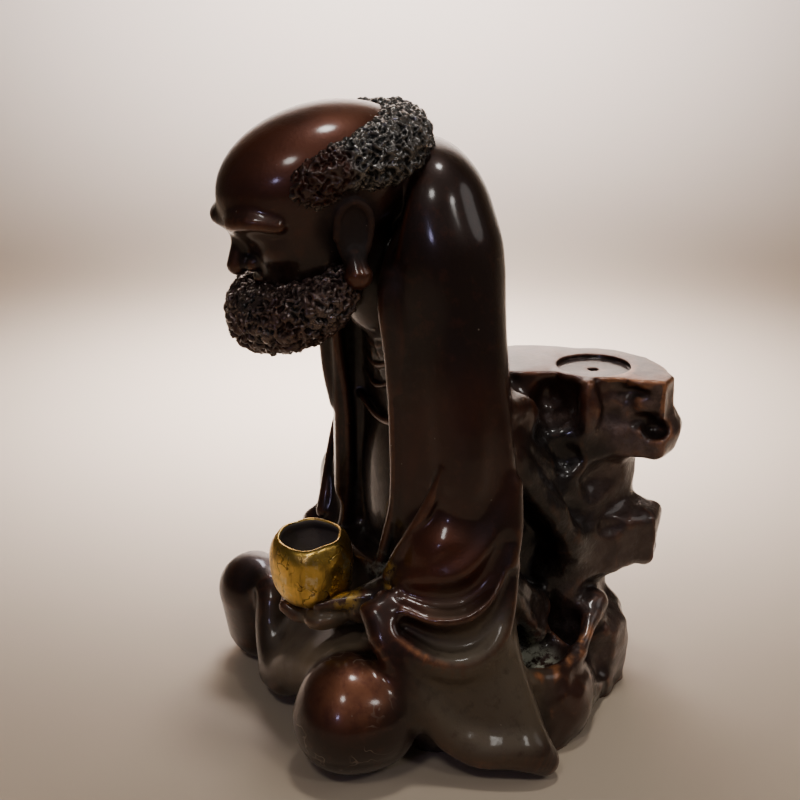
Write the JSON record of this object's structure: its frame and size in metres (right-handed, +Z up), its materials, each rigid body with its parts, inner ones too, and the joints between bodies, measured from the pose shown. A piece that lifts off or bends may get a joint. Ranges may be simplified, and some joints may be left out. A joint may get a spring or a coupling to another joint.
{
  "type": "figurine incense burner",
  "caption": "Cast bronze seated bearded monk with a small hollow gilt bowl in the lap and a scholar's rock behind, whose flat top has a shallow round recess for an incense stick.",
  "frame": {"origin": "on the underside, below the middle of the seated figure", "axes": "-Y is the way the figure faces, +X is the figure's left, +Z is up, the rock is on the +Y side"},
  "size_m": [0.1068, 0.1129, 0.1502],
  "materials": {
    "bronze": "dark brown patinated and waxed bronze, glossy, rubbed to copper on the edges",
    "gilt": "worn, scratched gilding over bronze, dark inside"
  },
  "bodies": {
    "root": {"monk_and_rock": "bronze", "alms_bowl": "gilt"}
  },
  "joints": []
}
